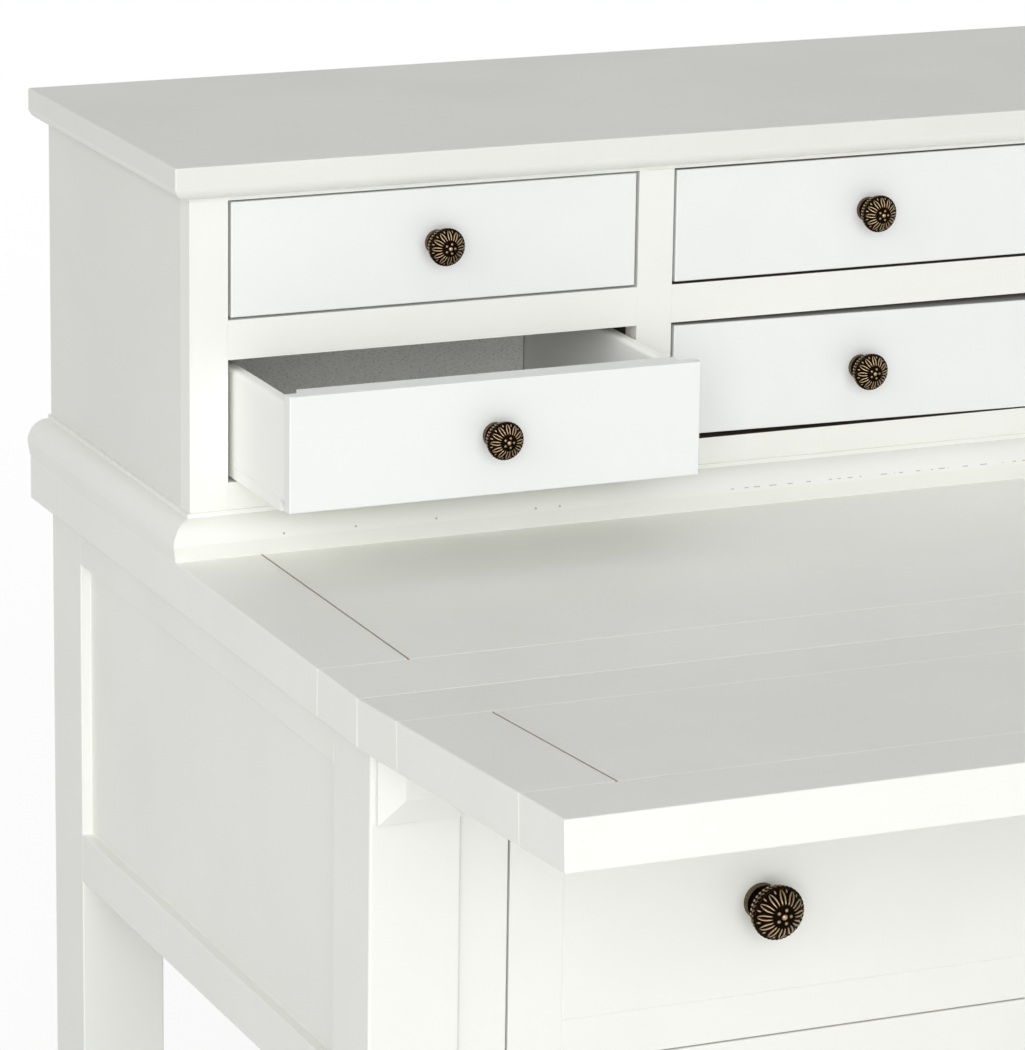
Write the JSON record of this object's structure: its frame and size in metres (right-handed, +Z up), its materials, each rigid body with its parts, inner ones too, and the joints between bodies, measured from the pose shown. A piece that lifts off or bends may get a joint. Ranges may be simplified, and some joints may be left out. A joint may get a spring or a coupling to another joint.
{
  "type": "writing desk",
  "caption": "White painted writing desk with a drawer hutch, a fold-over writing leaf on pull-out supports, a wide apron drawer and flower-headed knobs",
  "frame": {"origin": "centre of the footprint box on the floor, as pictured with the leaf open", "axes": "+X to the sitter's right, +Y towards the back, +Z up"},
  "size_m": [1.0438, 0.9503, 1.038],
  "materials": {
    "white_paint": "satin white paint",
    "aged_brass": "dark aged brass",
    "hinge_metal": "plain brass"
  },
  "bodies": {
    "frame": {"leg_front_left": "white_paint", "leg_front_right": "white_paint", "leg_rear_left": "white_paint", "leg_rear_right": "white_paint", "side_rails_left": "white_paint", "side_rails_right": "white_paint", "side_panel_left": "white_paint", "side_panel_right": "white_paint", "back_rails": "white_paint", "back_panel": "white_paint", "apron_stiles": "white_paint", "apron_rails": "white_paint", "drawer_runners": "white_paint", "loper_guides": "white_paint", "top_end_board_left": "white_paint", "top_end_board_right": "white_paint", "top_panel": "white_paint", "top_front_rail": "white_paint", "top_back_rail": "white_paint", "hinge_barrels_top": "hinge_metal", "hutch_side_left": "white_paint", "hutch_side_right": "white_paint", "hutch_back": "white_paint", "hutch_floor": "white_paint", "hutch_shelf": "white_paint", "hutch_top": "white_paint", "hutch_dividers_and_guides": "white_paint", "hutch_face_frame": "white_paint", "hutch_foot_moulding": "white_paint", "hutch_top_moulding": "white_paint"},
    "leaf": {"leaf_end_board_left": "white_paint", "leaf_end_board_right": "white_paint", "leaf_panel": "white_paint", "leaf_rear_rail": "white_paint", "leaf_front_rail": "white_paint", "hinge_barrels_leaf": "hinge_metal"},
    "hinge_links": {"hinge_links": "hinge_metal"},
    "loper_left": {"loper_left": "white_paint"},
    "loper_right": {"loper_right": "white_paint"},
    "base_drawer": {"base_drawer_front": "white_paint", "base_drawer_box": "white_paint", "base_drawer_knobs": "aged_brass"},
    "lower_left_drawer": {"lower_left_drawer_front": "white_paint", "lower_left_drawer_box": "white_paint", "lower_left_drawer_knob": "aged_brass"},
    "lower_middle_drawer": {"lower_middle_drawer_front": "white_paint", "lower_middle_drawer_box": "white_paint", "lower_middle_drawer_knob": "aged_brass"},
    "lower_right_drawer": {"lower_right_drawer_front": "white_paint", "lower_right_drawer_box": "white_paint", "lower_right_drawer_knob": "aged_brass"},
    "upper_left_drawer": {"upper_left_drawer_front": "white_paint", "upper_left_drawer_box": "white_paint", "upper_left_drawer_knob": "aged_brass"},
    "upper_middle_drawer": {"upper_middle_drawer_front": "white_paint", "upper_middle_drawer_box": "white_paint", "upper_middle_drawer_knob": "aged_brass"},
    "upper_right_drawer": {"upper_right_drawer_front": "white_paint", "upper_right_drawer_box": "white_paint", "upper_right_drawer_knob": "aged_brass"}
  },
  "joints": [
    {"name": "leaf_fold", "type": "hinge", "parent": "frame", "child": "leaf", "pos_m": [0, -0.1608, 0.77], "axis": [1, 0, 0], "range_deg": [-146, 3.6]},
    {"name": "hinge_link_swing", "type": "hinge", "parent": "frame", "child": "hinge_links", "pos_m": [0, -0.1608, 0.77], "axis": [1, 0, 0], "range_deg": [-73, 1.8]},
    {"name": "loper_left_slide", "type": "slide", "parent": "frame", "child": "loper_left", "axis": [0, -1, 0], "range_m": [0, 0.25]},
    {"name": "loper_right_slide", "type": "slide", "parent": "frame", "child": "loper_right", "axis": [0, -1, 0], "range_m": [0, 0.25]},
    {"name": "base_drawer_slide", "type": "slide", "parent": "frame", "child": "base_drawer", "axis": [0, -1, 0], "range_m": [0, 0.38]},
    {"name": "lower_left_drawer_slide", "type": "slide", "parent": "frame", "child": "lower_left_drawer", "axis": [0, -1, 0], "range_m": [-0.109, 0.091]},
    {"name": "lower_middle_drawer_slide", "type": "slide", "parent": "frame", "child": "lower_middle_drawer", "axis": [0, -1, 0], "range_m": [0, 0.2]},
    {"name": "lower_right_drawer_slide", "type": "slide", "parent": "frame", "child": "lower_right_drawer", "axis": [0, -1, 0], "range_m": [0, 0.2]},
    {"name": "upper_left_drawer_slide", "type": "slide", "parent": "frame", "child": "upper_left_drawer", "axis": [0, -1, 0], "range_m": [0, 0.2]},
    {"name": "upper_middle_drawer_slide", "type": "slide", "parent": "frame", "child": "upper_middle_drawer", "axis": [0, -1, 0], "range_m": [0, 0.2]},
    {"name": "upper_right_drawer_slide", "type": "slide", "parent": "frame", "child": "upper_right_drawer", "axis": [0, -1, 0], "range_m": [0, 0.2]}
  ],
  "couplings": [
    {"joint": "hinge_link_swing", "follows": "leaf_fold", "ratio": 0.5}
  ]
}
